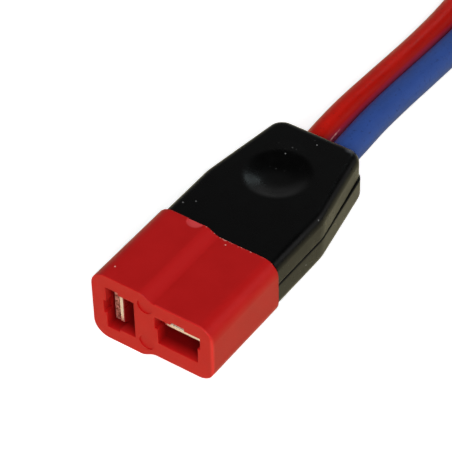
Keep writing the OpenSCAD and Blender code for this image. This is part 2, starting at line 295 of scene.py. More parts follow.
def use_tree(piece, tree, **values):
    """Puts the tree on the piece. Each value goes in by its socket's identifier."""
    modifier = piece.modifiers.new(tree.name, "NODES")
    modifier.node_group = tree
    sockets = [item for item in tree.interface.items_tree if item.in_out == "INPUT"]
    identifiers = {item.name.lower().replace(" ", "_"): item.identifier for item in sockets}
    for key, value in values.items():
        modifier[identifiers[key]] = value
    return settle(piece)


# %% [markdown]
# ## How the finishes are made
#
# Each finish is a small recipe of noise on object coordinates. The patterns are measured in
# millimetres: a Mapping node turns metres into millimetres, so that a noise scale of 2 means two
# waves in a millimetre. A helper starts every recipe the same way.

# %% Helpers for materials
PER_MM = (1 / MM,) * 3


class Finish:
    """A material being written: its tree, its shader and its coordinates in millimetres."""

    def __init__(self, name, **shader):
        self.material = bpy.data.materials.new(name)
        self.material.use_nodes = True
        self.tree = self.material.node_tree
        self.shader = self.tree.nodes["Principled BSDF"]
        for option, value in shader.items():
            socket = option.replace("_", " ").title().replace("Ior", "IOR")
            self.shader.inputs[socket].default_value = value
        place = add_node(self.tree, "ShaderNodeTexCoord").outputs["Object"]
        self.mm = self.stretched(PER_MM, place)

    def stretched(self, scale, place=None):
        """The coordinates, scaled along each axis."""
        inputs = {"Vector": place or self.mm, "Scale": scale}
        return add_node(self.tree, "ShaderNodeMapping", inputs).outputs[0]

    def noise(self, scale, detail=3.0, roughness=0.5, where=None):
        inputs = {"Vector": where or self.mm, "Scale": scale, "Detail": detail, "Roughness": roughness}
        return add_node(self.tree, "ShaderNodeTexNoise", inputs).outputs["Fac"]

    def ramp(self, value, *levels):
        return ramp_node(self.tree, value, *levels)

    def math(self, operation, a, b):
        return number_node(self.tree, operation, a, b)

    def both(self, a, b):
        """Where two patterns meet."""
        return self.math("MULTIPLY", a, b)

    def either(self, a, b):
        """Two patterns together."""
        return self.math("MAXIMUM", a, b)

    def compare(self, operation, vector):
        """The place's DISTANCE from a point, or its DOT_PRODUCT with a direction."""
        return vector_node(self.tree, operation, {0: self.mm, 1: vector}, "Value")

    def mix(self, share, a, b):
        """One colour painted over another."""
        node = add_node(self.tree, "ShaderNodeMix", data_type="RGBA")
        for key, value in (("Factor", share), ("A", a), ("B", b)):
            join(self.tree, value, in_use(node.inputs, key))
        return in_use(node.outputs, "Result")

    def specks(self, cell, size, share):
        """Small grains at random: one in each cell of the given size, most of them left out."""
        inputs = {"Vector": self.mm, "Scale": 1 / cell}
        cells = add_node(self.tree, "ShaderNodeTexVoronoi", inputs).outputs
        near = self.ramp(cells["Distance"], size / cell, 0.5 * size / cell)
        chance = add_node(self.tree, "ShaderNodeSeparateColor", {"Color": cells["Color"]}).outputs[0]
        return self.both(near, self.math("LESS_THAN", chance, share))

    def axis(self, name, low, high):
        """0 below low and 1 above high, along one axis. The places are in millimetres."""
        part = add_node(self.tree, "ShaderNodeSeparateXYZ", {0: self.mm}).outputs[name]
        return self.ramp(part, low, high)

    def within(self, name, low, high, soft=0.3):
        """1 between low and high along one axis, with soft ends."""
        rise, fall = self.axis(name, low, low + soft), self.axis(name, high, high - soft)
        return self.both(rise, fall)

    def spots(self, places, radius, soft=0.5):
        """1 inside balls of the given radius round the places, with soft rims."""
        total = 0.0
        for place in places:
            near = self.compare("DISTANCE", place)
            total = self.either(self.ramp(near, radius, radius * (1 - soft)), total)
        return total

    def set(self, socket, value):
        self.tree.links.new(value, self.shader.inputs[socket])

    def bump(self, height, depth):
        """Raises the surface by the height map, with a depth in millimetres."""
        inputs = {"Height": height, "Strength": 1.0, "Distance": depth * MM}
        self.set("Normal", add_node(self.tree, "ShaderNodeBump", inputs).outputs[0])


def grey(level):
    return (level, level, level, 1.0)


# %% [markdown]
# ## Red nylon
#
# The housing is moulded in glass-filled nylon with a satin surface. The colour is deep and even, with
# slow clouds from the flow of the melt. Inside the sockets it is painted darker, a painted shade where
# light has to find its way out between red walls. The stub where the nylon flowed in is paler, and so
# is the thin fringe at the joint. The corner and the edge of the mating face are painted paler as a
# painted highlight, and the slope between the two heights is painted a shade lighter, as painted light
# where it faces the key light. Fine noise breaks the gloss. All of it could be painted by hand on
# an unwrapped mesh, but a place that is given in millimetres stays where it is when the mesh changes.

# %% Finish of the housing
MELT_REDS = (0.45, 0.0045, 0.0045, 1), (0.49, 0.0065, 0.0065, 1)
SLOPE_PAINTED_LIGHT = (0.48, 0.0075, 0.008, 1)
SOCKET_PAINTED_SHADE = (0.16, 0.0007, 0.0012, 1)
EDGE_PAINTED_HIGHLIGHT = (0.66, 0.025, 0.022, 1)
GATE_RED = (0.68, 0.055, 0.06, 1)
DUSTY_RED = (0.8, 0.42, 0.36, 1)
# Places in millimetres: each pair is the two ends of a span, or of the run on which a tone comes up
SLOPE_X, SLOPE_SOFT, SLOPE_Y = (-1.65, 0.35), 0.35, (-16.7, -16.5)
SOCKETS_X, SOCKETS_Z, SOCKETS_Y = (-6.9, 6.7), (1.2, 8.0), (-16.68, -15.3)
CORNER_X, CORNER_Y = (7.55, 7.85), (-16.3, -16.7)
EDGE_X, EDGE_Y = (0.5, 2.0), (-16.745, -16.55)
FRINGE_X, FRINGE_Y = (-1.6, 7.4), (-4.5, -4.3)
GATE_PLACE, GATE_SPOT, GATE_Z = (-2.85, -4.3, 9.3), 1.12, (9.0, 9.1)
HOUSING_SPECKS = [(-5.98, -14.94, 9.4), (1.5, -4.95, 8.6)]
SPECK_SIZE = 0.12


def housing_nylon():
    finish = Finish("housing_nylon", ior=1.5, specular_ior_level=0.25)
    clouds = finish.noise(0.35, detail=4)
    red = finish.mix(finish.ramp(clouds, 0.3, 0.7), *MELT_REDS)
    # Painted light: the slope between the two heights is painted lighter where it faces the key light.
    slope = finish.both(finish.within("X", *SLOPE_X, SLOPE_SOFT), finish.axis("Y", *SLOPE_Y))
    red = finish.mix(slope, red, SLOPE_PAINTED_LIGHT)
    # Painted shade: the inside of the sockets is painted darker, more so with depth.
    inside = finish.both(finish.within("X", *SOCKETS_X), finish.within("Z", *SOCKETS_Z))
    red = finish.mix(finish.both(inside, finish.axis("Y", *SOCKETS_Y)), red, SOCKET_PAINTED_SHADE)
    # Painted highlight: the corner and the edge of the mating face are painted paler.
    corner = finish.both(finish.axis("X", *CORNER_X), finish.axis("Y", *CORNER_Y))
    edge = finish.both(finish.within("Y", *EDGE_Y, 0.03), finish.axis("X", *EDGE_X))
    edge = finish.both(finish.math("GREATER_THAN", edge, inside), 0.5)
    red = finish.mix(finish.either(corner, edge), red, EDGE_PAINTED_HIGHLIGHT)
    gate = finish.both(finish.spots([GATE_PLACE], GATE_SPOT, soft=0.12), finish.axis("Z", *GATE_Z))
    red = finish.mix(gate, red, GATE_RED)
    fringe = finish.both(finish.within("X", *FRINGE_X), finish.axis("Y", *FRINGE_Y))
    fringe = finish.both(fringe, finish.ramp(finish.noise(3.2, detail=5), 0.56, 0.64))
    dust = finish.either(finish.specks(cell=1.6, size=0.09, share=0.05), fringe)
    dust = finish.either(dust, finish.spots(HOUSING_SPECKS, SPECK_SIZE))
    finish.set("Base Color", finish.mix(dust, red, DUSTY_RED))
    grain = finish.noise(9.0, detail=3)
    finish.set("Roughness", finish.ramp(grain, 0.3, 0.7, 0.38, 0.5))
    finish.bump(grain, 0.004)
    return finish.material


# %% [markdown]
# ## Black plastic
#
# The cover is a harder, shinier plastic. Black shows almost only reflections, so the work is in the
# gloss: slow smudges change the roughness, the far side of the thumb hollow is rough where the mould
# was worn and has pale specks painted on it as painted glints, a dull smear lies on one rear corner,
# and sparse pale grains of dust catch the light.

# %% Finish of the cover
COVER_SPECKS = [
    (-6.5, -1.7, 8.4),
    (-5.4, -0.75, 8.4),
    (0.63, 14.6, 8.4),
    (7.5, 4.4, 8.1),
    (7.85, 1.33, 3.9),
]
SMEAR_PLACE, SMEAR_SIZE, SMEAR_GREY = (4.2, 16.0, 8.0), 0.8, (0.22, 0.23, 0.26, 1)
ROUGH_PLACE, ROUGH_SIZE = (-1.6, 11.3, 8.2), 2.4
GLINT_SHARE = 0.8
BLACK, DUSTY_GREY = 0.0013, 0.17


def cover_plastic():
    finish = Finish("cover_plastic", ior=1.5, specular_ior_level=0.185)
    dust = finish.specks(cell=1.3, size=0.07, share=0.07)
    dust = finish.either(dust, finish.spots(COVER_SPECKS, SPECK_SIZE))
    worn = finish.spots([ROUGH_PLACE], ROUGH_SIZE, soft=0.7)
    # Painted glints: pale specks on the worn side of the thumb hollow.
    painted_glints = finish.both(finish.specks(cell=0.55, size=0.13, share=0.35), worn)
    dust = finish.either(dust, finish.both(painted_glints, GLINT_SHARE))
    smear = finish.spots([SMEAR_PLACE], SMEAR_SIZE, soft=0.9)
    smear = finish.both(smear, finish.noise(3.0, detail=5))
    black = finish.mix(dust, grey(BLACK), grey(DUSTY_GREY))
    finish.set("Base Color", finish.mix(smear, black, SMEAR_GREY))
    smudge = finish.noise(0.5, detail=5)
    finish.set("Roughness", finish.ramp(smudge, 0.35, 0.65, 0.25, 0.33))
    rough = finish.both(worn, finish.noise(2.6, detail=6))
    grain = finish.ramp(finish.noise(7.0, detail=4), 0, 1, 0, 0.12)
    finish.bump(finish.math("ADD", grain, rough), 0.06)
    return finish.material


# %% [markdown]
# ## Metals
#
# The contacts are plated, the leaf springs are bronze, and the ends of the leads are tinned. Each is
# a metal with its own colour and grain. Brushed grain is noise that is stretched along the piece.
# Deep in a socket a metal shows little but the red walls, so two places get painted light: the flat
# side of the upright blade is painted in the wall's red, a painted reflection, and the leaf in the flat
# socket is painted pale and is only partly metallic, so that it stays pale.

# %% Finishes of the metals
PLATING = (0.90, 0.79, 0.78, 1), (1.0, 0.90, 0.90, 1)
PAINTED_WALL_REFLECTION, PAINTED_REFLECTION_DEPTH = (0.22, 0.003, 0.003, 1), 0.16
BRONZES = (0.15, 0.03, 0.028, 1), (0.70, 0.33, 0.31, 1)


def metal(name, colour, roughness, grain_depth=0.002):
    finish = Finish(name, metallic=1.0)
    grain = finish.noise(3.0, detail=4)
    dark = tuple(0.82 * c for c in colour)
    finish.set("Base Color", finish.mix(finish.ramp(grain, 0.3, 0.7), (*dark, 1), (*colour, 1)))
    finish.set("Roughness", finish.ramp(grain, 0.3, 0.7, roughness - 0.06, roughness + 0.08))
    finish.bump(grain, grain_depth)
    return finish.material


def contact_plating():
    """Plating. The upright blade's flat side faces the red wall closely, and the wall's reflection is
    painted on it.
    """
    finish = Finish("contact_plating", ior=1.5)
    grain = finish.noise(3.0, detail=4, where=finish.stretched((1, 0.15, 1)))
    plate = finish.mix(finish.ramp(grain, 0.3, 0.7), *PLATING)
    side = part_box("upright_contact")[1].x / MM
    # Painted reflection: the red wall is painted on the blade's flat side, which is not metallic there.
    painted_reflection = finish.within("X", side - PAINTED_REFLECTION_DEPTH, 0, soft=0.06)
    finish.set("Base Color", finish.mix(painted_reflection, plate, PAINTED_WALL_REFLECTION))
    finish.set("Metallic", finish.ramp(painted_reflection, 0, 1, 1, 0))
    finish.set("Roughness", finish.ramp(grain, 0.3, 0.7, 0.24, 0.38))
    finish.bump(grain, 0.002)
    return finish.material


def worn_bronze():
    """Bronze that a plug has rubbed. The leaf in the flat socket, on the right, is painted pale and is
    less metallic: painted light.
    """
    finish = Finish("spring_bronze", roughness=0.45)
    # Painted light: the leaf in the flat socket, at positive x, is painted pale and made less metallic.
    pale_painted = finish.axis("X", 0, 0.1)
    flecks = finish.noise(2.4, detail=6, roughness=0.7)
    rubbed = finish.mix(finish.ramp(flecks, 0.42, 0.58), *BRONZES)
    finish.set("Base Color", finish.mix(pale_painted, rubbed, PLATING[1]))
    finish.set("Metallic", finish.ramp(pale_painted, 0, 1, 0.8, 0.35))
    finish.bump(finish.both(flecks, finish.ramp(pale_painted, 0, 1, 1, 0.1)), 0.02)
    return finish.material


# %% [markdown]
# ## Silicone
#
# The leads have a soft, slightly waxy skin. It is smooth but never quite clean: faint dark scuffs and
# a bloom of dust lie along it. The side of the red lead that faces the blue one is painted darker, as
# painted shade, with a purple cast where the two nearly touch, a painted reflection of the blue lead.
# By the cover it has a pale painted highlight and a dark painted shadow, two thin lines side by side.

# %% Finish of the leads
ACROSS_PAIR = (1, 0.025, 0)
SHADED_RED, BLUE_PAINTED_REFLECTION = (0.345, 0.003, 0.001, 1), (0.22, 0.045, 0.12, 1)
STREAKS_X, STREAKS_Y = (-1.3, -1.1), (17.6, 21.4)
# Each row: the heights between which a painted line runs, and its colour: first the painted highlight,
# then the painted shadow
PAINTED_STREAKS = [(5.36, 5.58, (0.80, 0.42, 0.36, 1)), (5.12, 5.34, (0.12, 0.002, 0.002, 1))]


def facing_side(finish, tone, rubs):
    """The side of the red lead that faces the blue one: painted shade, a painted reflection and painted
    lines.
    """
    across = finish.compare("DOT_PRODUCT", ACROSS_PAIR)
    # Painted shade towards the blue lead, and a painted reflection of it where the two nearly touch.
    tone = finish.mix(finish.ramp(across, -1.3, 0.1), tone, SHADED_RED)
    tone = finish.mix(finish.ramp(across, -0.2, 0.2, 0, 0.6), tone, BLUE_PAINTED_REFLECTION)
    # Painted highlight and painted shadow: two thin lines near the cover.
    by_cover = finish.both(finish.within("Y", *STREAKS_Y, 1.0), finish.axis("X", *STREAKS_X))
    for low, high, colour in PAINTED_STREAKS:
        line = finish.both(finish.within("Z", low, high, 0.1), by_cover)
        tone = finish.mix(finish.both(line, finish.ramp(rubs, 0.35, 0.6)), tone, colour)
    return tone


def silicone(name, colour, scuff, roughness, gloss, beside_other=False):
    finish = Finish(name, ior=1.43, specular_ior_level=gloss)
    bloom = finish.noise(0.6, detail=4, where=finish.stretched((1, 0.35, 1)))
    dusty = tuple(1.18 * c for c in colour)
    tone = finish.mix(finish.ramp(bloom, 0.35, 0.7), (*colour, 1), (*dusty, 1))
    rubs = finish.noise(2.2, detail=5, roughness=0.65)
    tone = finish.mix(finish.ramp(rubs, 0.57, 0.68, 0, 0.55), tone, (*scuff, 1))
    if beside_other:
        tone = facing_side(finish, tone, rubs)
    finish.set("Base Color", tone)
    finish.set("Roughness", finish.ramp(bloom, 0.3, 0.7, roughness - 0.05, roughness + 0.08))
    finish.bump(rubs, 0.01)
    return finish.material


# %% [markdown]
# Both leads share that recipe. All the finishes are made once and kept by the names of the model's
# slots, so that each piece can ask for its own.

# %% Make all the finishes
# Each row: the colour, the colour of the scuffs, roughness, gloss, and if it has the facing side
INSULATION = {
    "red_insulation": ((0.52, 0.007, 0.002), (0.24, 0.006, 0.004), 0.36, 0.17, True),
    "blue_insulation": ((0.023, 0.066, 0.275), (0.014, 0.028, 0.10), 0.5, 0.34),
}
finishes = {
    "housing_nylon": housing_nylon(),
    "cover_plastic": cover_plastic(),
    "contact_plating": contact_plating(),
    "spring_bronze": worn_bronze(),
    **{name: silicone(name, *facts) for name, facts in INSULATION.items()},
    "tinned_strands": metal("tinned_strands", (0.74, 0.73, 0.70), 0.33),
    "solder": metal("solder", (0.76, 0.76, 0.76), 0.25, 0.006),
}
print("finishes:", ", ".join(finishes))

# %% [markdown]
# ## Outlines and lofts
#
# A moulded piece is easy to describe by its outline. Every point of an outline here carries the
# direction that faces outwards, so the outline can be drawn in by any distance. That is also how a
# rounded edge is made: a stack of rings, each drawn in a little more than the last, on a quarter of
# a circle. Skinning the rings gives a loft with its rounding built in. A Bevel modifier could round
# the edges of a finished mesh, but it fails where many small edges meet, as they do round a socket.

# %% Helpers for outlines and lofts


def arc(x, y, radius, start, end, steps=10):
    """Points on an arc with their outward directions. The angles are in degrees."""
    outline = []
    for i in range(steps + 1):
        angle = math.radians(start + (end - start) * i / steps)
        way = Vector((math.cos(angle), math.sin(angle)))
        outline.append((Vector((x, y)) + radius * way, way))
    return outline


def corners(points):
    """An outline with sharp corners, named anticlockwise. Its sides stay parallel when drawn in."""
    points = [Vector(p) for p in points]
    outline = []
    for before, here, after in zip([points[-1], *points], points, [*points[1:], points[0]]):
        first, second = (here - before).normalized(), (after - here).normalized()
        normals = [Vector((way.y, -way.x)) for way in (first, second)]
        outline.append((here, (normals[0] + normals[1]) / (1 + normals[0].dot(normals[1]))))
    return outline


def rectangle(x0, x1, y0, y1):
    return corners([(x0, y0), (x1, y0), (x1, y1), (x0, y1)])


def drawn_in(outline, distance):
    return [point - way * distance for point, way in outline]


def quarter(radius, steps=4):
    """A rounded edge, from the face round to the side: how far in and how far down each ring is."""
    angles = [math.pi / 2 * i / steps for i in range(steps + 1)]
    return [(radius * (1 - math.sin(a)), radius * (1 - math.cos(a))) for a in angles]


def skin(work, rings):
    """Joins rings of equally many points with faces, and returns the rings' vertices."""
    loops = [[work.verts.new(p) for p in ring] for ring in rings]
    for low, high in zip(loops, loops[1:]):
        for a, b, c, d in zip(low, [*low[1:], low[0]], [*high[1:], high[0]], high):
            work.faces.new((a, b, c, d))
    return loops


def loft(name, rings):
    """A closed solid through the rings, with a flat face at each end."""
    work = bmesh.new()
    loops = skin(work, rings)
    work.faces.new(loops[0])
    work.faces.new(loops[-1])
    return add_work(name, work)


# %% [markdown]
# Hollows are cut with simple tools, as a mould's cores would do it. A tool is a loft too, and the
# Boolean modifier takes it away from the piece or joins it on.

# %% Helpers for cutting and joining
OVER = 1 * MM
SLIVER = 0.01 * MM


def shape_with(piece, tool, operation="DIFFERENCE"):
    """Cuts the tool out of the piece, or joins it on with the operation UNION."""
    modifier = piece.modifiers.new("shape", "BOOLEAN")
    modifier.operation = operation
    modifier.solver = "EXACT"
    modifier.object = tool
    settle(piece)
    bpy.data.objects.remove(tool)
    return piece


def block(low, high):
    """A box between two corners."""
    ring = [(low[0], low[1]), (high[0], low[1]), (high[0], high[1]), (low[0], high[1])]
    return loft("block", [[Vector((x, y, z)) for x, y in ring] for z in (low[2], high[2])])


def rod(start, end, radius, sides=48):
    """A cylinder between two points."""
    start, end = Vector(start), Vector(end)
    aside = (end - start).orthogonal().normalized()
    across = (end - start).normalized().cross(aside)
    angles = [2 * math.pi * i / sides for i in range(sides)]
    ring = [radius * (math.cos(a) * aside + math.sin(a) * across) for a in angles]
    return loft("rod", [[end_point + p for p in ring] for end_point in (start, end)])


# %% [markdown]
# ## Smooth faces and sharp edges
#
# Rounded edges only look right if the shading runs smoothly over them while the flat faces stay
# flat. Edges that turn by more than 35 degrees are marked sharp, and weighted normals let the large
# flat faces win over the narrow strips beside them.

# %% Helpers that shade and finish a piece
SHARP = math.radians(35)
FLAT = math.radians(0.3)


def shade(piece):
    piece.data.polygons.foreach_set("use_smooth", [True] * len(piece.data.polygons))
    piece.data.set_sharp_from_angle(angle=SHARP)
    weighted = piece.modifiers.new("even", "WEIGHTED_NORMAL")
    weighted.keep_sharp = True
    return settle(piece)


def finish_piece(piece, slot, *nodes):
    """Gives the piece its finish and its body, and hides the CAD nodes that it stands for."""
    if not piece.data.materials:
        piece.data.materials.append(finishes[slot])
    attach(piece, "root")
    if nodes:
        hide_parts(*nodes)
    print(f"{piece.name}: {len(piece.data.polygons)} faces, {slot}")
    return piece


# %% [markdown]
# ## The red housing
#
# The housing is one moulding. It is taller on the left, where the upright socket is, and steps down
# through a soft S-shaped slope on top and underneath. Its section is drawn once, and five rings at
# each end round the edges of the mating face and of the joint.

# %% Body of the housing
THIN_HALF = 3.9 * MM
LONG_EDGE = 2.0 * MM
SLOPE_SHIFT = 0.65 * MM
SLOPE_RUN = 2.1 * MM
FACE_EDGE = 0.1 * MM
JOINT_EDGE = 0.1 * MM
housing_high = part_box("housing")[1]
half_width = housing_high.x
thick_half = housing_high.z - seam_z


def slope(side, steps=14):
    """The step between the two heights: on top for side 1, underneath for side -1."""
    drop = thick_half - THIN_HALF
    outline = []
    for i in range(steps + 1):
        t = 1 - i / steps if side > 0 else i / steps
        x = SLOPE_RUN * (t - 0.5) - SLOPE_SHIFT
        z = thick_half - drop * t * t * (3 - 2 * t)
        fall = drop * 6 * t * (1 - t) / SLOPE_RUN
        outline.append((Vector((x, side * z)), Vector((fall, side)).normalized()))
    return outline


thin_x, thin_z = half_width - LONG_EDGE, THIN_HALF - LONG_EDGE
thick_x, thick_z = LONG_EDGE - half_width, thick_half - LONG_EDGE
housing_outline = [
    *arc(thin_x, thin_z, LONG_EDGE, 0, 90),
    *slope(1),
    *arc(thick_x, thick_z, LONG_EDGE, 90, 180),
    *arc(thick_x, -thick_z, LONG_EDGE, 180, 270),
    *slope(-1),
    *arc(thin_x, -thin_z, LONG_EDGE, 270, 360),
]


def section(distance, y):
    return [Vector((p.x, y, seam_z + p.y)) for p in drawn_in(housing_outline, distance)]


front_rings = [section(inward, face_y + back) for inward, back in quarter(FACE_EDGE)]
rear_rings = [section(inward, joint_y - back) for inward, back in quarter(JOINT_EDGE)]
red_housing = loft("red_housing", front_rings + rear_rings[::-1])
print("section of the housing:", len(housing_outline), "points")

# %% [markdown]
# Behind the joint the moulding goes on, out of sight: a neck passes the cover's front lip, and a
# flange behind the lip keeps the cover from sliding off. Their sizes follow the shells' walls.

# %% Neck and flange
SHELL_WALL = 1.0 * MM
FIT_GAP = 0.1 * MM
LIP_LENGTH = 1.6 * MM
LIP_GRIP = 0.5 * MM
cover_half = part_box("upper_cover")[1].x
upper_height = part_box("upper_cover")[1].z - seam_z
lower_height = seam_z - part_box("lower_cover")[0].z
flange_x = cover_half - SHELL_WALL - FIT_GAP
flange_up = upper_height - SHELL_WALL - FIT_GAP
flange_down = lower_height - SHELL_WALL - FIT_GAP
flange_y = joint_y + LIP_LENGTH + FIT_GAP
tail_y = housing_high.y


def step_block(slimmer, start, end):
    """A block as wide and high as the flange, or slimmer all round."""
    x = flange_x - slimmer
    low = (-x, start, seam_z - flange_down + slimmer)
    return block(low, (x, end, seam_z + flange_up - slimmer))


shape_with(red_housing, step_block(LIP_GRIP, joint_y - SLIVER, flange_y + SLIVER), "UNION")
shape_with(red_housing, step_block(0, flange_y, tail_y), "UNION")
print("the flange is", round(2 * flange_x / MM, 2), "mm wide")

# %% [markdown]
# Each socket is a channel for the contact and its spring, a narrower space for the plug's blade
# below it, and a notch in the mouth. The two sockets are the same shape, one lying flat and one
# standing up, so the tool is written once and placed twice. Its mouth flares, which leaves the edge
# of the socket rounded.

# %% Sockets
SOCKET_DEPTH = 11.0 * MM
CHANNEL_HALF, CHANNEL_DEPTH = 2.95 * MM, 1.65 * MM
BLADE_HALF, BLADE_DEPTH = 2.6 * MM, 2.1 * MM
NOTCH_HALF, NOTCH_DEPTH, NOTCH_LENGTH = 0.9 * MM, 0.35 * MM, 1.2 * MM
TAIL_HALF, TAIL_THICK = 1.2 * MM, 0.65 * MM
MOUTH_EDGE = 0.08 * MM
flat_low, flat_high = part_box("flat_contact")
upright_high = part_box("upright_contact")[1]


def in_flat(across, y, rise):
    return Vector(((flat_low.x + flat_high.x) / 2 + across, y, flat_low.z + rise))


def in_upright(across, y, rise):
    return Vector((upright_high.x - rise, y, seam_z + across))


def socket_tool(place, outline, start, end, flare=0.0):
    """A tool along the socket from start to end, which flares at the mating face."""
    rings = [(flare, start), (0.0, end)]
    if flare:
        rings[1:1] = [(inward, face_y + back) for inward, back in quarter(flare)]
    return loft("tool", [[place(p.x, y, p.y) for p in drawn_in(outline, -out)] for out, y in rings])


hollow = corners([
    (-BLADE_HALF, -BLADE_DEPTH), (BLADE_HALF, -BLADE_DEPTH), (BLADE_HALF, 0), (CHANNEL_HALF, 0),
    (CHANNEL_HALF, CHANNEL_DEPTH), (-CHANNEL_HALF, CHANNEL_DEPTH), (-CHANNEL_HALF, 0), (-BLADE_HALF, 0),
])
notch = rectangle(-NOTCH_HALF, NOTCH_HALF, CHANNEL_DEPTH / 2, CHANNEL_DEPTH + NOTCH_DEPTH)
tail_slot = rectangle(-TAIL_HALF - FIT_GAP, TAIL_HALF + FIT_GAP, -FIT_GAP, TAIL_THICK + FIT_GAP)
socket_end = face_y + SOCKET_DEPTH
for place in (in_flat, in_upright):
    before = face_y - OVER
    shape_with(red_housing, socket_tool(place, hollow, before, socket_end, MOUTH_EDGE))
    shape_with(red_housing, socket_tool(place, notch, before, face_y + NOTCH_LENGTH, MOUTH_EDGE))
    shape_with(red_housing, socket_tool(place, tail_slot, socket_end - SLIVER, tail_y + OVER))
print("housing with its sockets:", len(red_housing.data.polygons), "faces")

# %% [markdown]
# The mould leaves its own marks: two shallow discs where pins pushed the part out, and half a disc
# at the joint where the nylon flowed in.

# %% Marks of the mould
PIN_RADIUS, PIN_DEPTH = 1.0 * MM, 0.15 * MM
PIN_X, PIN_RISES = -0.8 * MM, (2.95 * MM, -2.45 * MM)
GATE_RADIUS, GATE_DEPTH, GATE_X = 1.05 * MM, 0.15 * MM, -2.8 * MM
for rise in PIN_RISES:
    before, behind = (PIN_X, face_y - OVER, seam_z + rise), (PIN_X, face_y + PIN_DEPTH, seam_z + rise)
    shape_with(red_housing, rod(before, behind, PIN_RADIUS))
below, above = (GATE_X, joint_y, housing_high.z - GATE_DEPTH), (GATE_X, joint_y, housing_high.z + OVER)
shape_with(red_housing, rod(below, above, GATE_RADIUS))
finish_piece(shade(red_housing), "housing_nylon", "housing")

# %% [markdown]
# ## The two shells of the cover
#
# The cover is parallel for nine millimetres and then tapers to the leads. Seen from above, both
# shells share one outline with round corners. Their sides come from a short profile of rings. The
# lower one is a straight wall with a round edge. The upper shell starts with a low strip that is
# flush with it, and then overhangs a little: the notch between them draws the dark line round the
# cover. Above that line the shell has slipped a hair to the left.

# %% Outline of the cover
STRAIGHT_LENGTH = 9.0 * MM
REAR_HALF = 5.75 * MM
CORNER_RADIUS = 2.0 * MM
BEND_RADIUS, BEND_STEPS = 8.0 * MM, 6
REAR_WALL = 3.5 * MM
kink_y = joint_y + STRAIGHT_LENGTH
taper = math.atan2(cover_half - REAR_HALF, rear_y - kink_y)
print("the cover tapers by", round(math.degrees(taper), 1), "degrees a side")


def plan_half(y, inset=0.0):
    """Half width of the cover at y, drawn in by inset."""
    if y <= kink_y:
        return cover_half - inset
    return cover_half - (y - kink_y) * math.tan(taper) - inset / math.cos(taper)


def mirrored(outline):
    return [(Vector((-p.x, p.y)), Vector((-way.x, way.y))) for p, way in reversed(outline)]


def cover_outline(slip=0.0):
    """Plan of the cover, with its rear corners further left by slip."""
    turn = math.degrees(taper)
    rear_x = REAR_HALF - CORNER_RADIUS * math.cos(taper) / (1 + math.sin(taper))
    bend_y = kink_y - BEND_RADIUS * math.tan(taper / 2)
    right = [
        (Vector((cover_half, joint_y)), Vector((1, 0))),
        *arc(cover_half - BEND_RADIUS, bend_y, BEND_RADIUS, 0, turn, BEND_STEPS),
        *arc(rear_x, rear_y - CORNER_RADIUS, CORNER_RADIUS, turn, 90),
    ]
    is_rear = [p.y > kink_y + CORNER_RADIUS for p, way in right]
    is_rear += is_rear[::-1]
    return [
        (p - Vector((slip * rear, 0)), way) for (p, way), rear in zip(right + mirrored(right), is_rear)
    ]


def shell_rings(outline, profile, side):
    """Rings above the seam for side 1 and below it for side -1, from a profile of (inset, height)."""
    return [
        [Vector((p.x, p.y, seam_z + side * height)) for p in drawn_in(outline, inset)]
        for inset, height in profile
    ]


def round_top(height, radius, steps=8):
    """A profile that ends in a rounded edge at the height."""
    return [(inward, height - down) for inward, down in reversed(quarter(radius, steps))]


# %% [markdown]
# The lower shell is a plain loft. The upper shell has a hollow for the thumb on top: a dip whose
# depth follows a smooth curve from the rim to the middle, so it has no visible edge. Its rings are
# skinned on their own, and the flat top between them and the shell's edge is filled with triangles.

# %% Outer form of the shells
UPPER_EDGE, LOWER_EDGE = 1.2 * MM, 1.6 * MM
STRIP_HEIGHT, STRIP_EDGE, STRIP_STEPS = 0.24 * MM, 0.16 * MM, 4
# The rounding under the overhang is 0.6 times as deep as it is high
OVERHANG_EDGE, OVERHANG_DEPTH = 0.45 * MM, 0.6
SHELL_SLIP = 0.2 * MM
GRIP_RADIUS, GRIP_DEPTH, GRIP_CURVE = 4.3 * MM, 0.8 * MM, 1.6
GRIP_X, GRIP_BACK = -0.4 * MM, 12.3 * MM
grip_y = joint_y + GRIP_BACK

lower_profile = [(0, 0), *round_top(lower_height, LOWER_EDGE)]
lower_shell = loft("lower_shell", shell_rings(cover_outline(), lower_profile, -1))


def grip_rings(steps=22, sides=72):
    """Rings of the thumb hollow from its rim inwards. The middle is closed with one point."""
    rings = []
    for i in range(steps, 0, -1):
        t = i / steps
        rise = t**GRIP_CURVE
        z = seam_z + upper_height - GRIP_DEPTH * (1 - rise * rise * (3 - 2 * rise))
        ring = arc(GRIP_X, grip_y, GRIP_RADIUS * t, 0, 360, sides)[:-1]
        rings.append([Vector((p.x, p.y, z)) for p, way in ring])
    return rings


def loop_edges(work, loop):
    return [work.edges.get(pair) for pair in zip(loop, [*loop[1:], loop[0]])]


def hollowed_shell(name, rings):
    """The upper shell's outer form: the loft, the thumb hollow, and the flat top round it."""
    work = bmesh.new()
    outer = skin(work, rings)
    work.faces.new(outer[0])
    dip = skin(work, grip_rings())
    middle = work.verts.new((GRIP_X, grip_y, seam_z + upper_height - GRIP_DEPTH))
    for a, b in zip(dip[-1], [*dip[-1][1:], dip[-1][0]]):
        work.faces.new((a, b, middle))
    rims = loop_edges(work, outer[-1]) + loop_edges(work, dip[0])
    bmesh.ops.triangle_fill(work, edges=rims, use_beauty=True)
    return add_work(name, work)


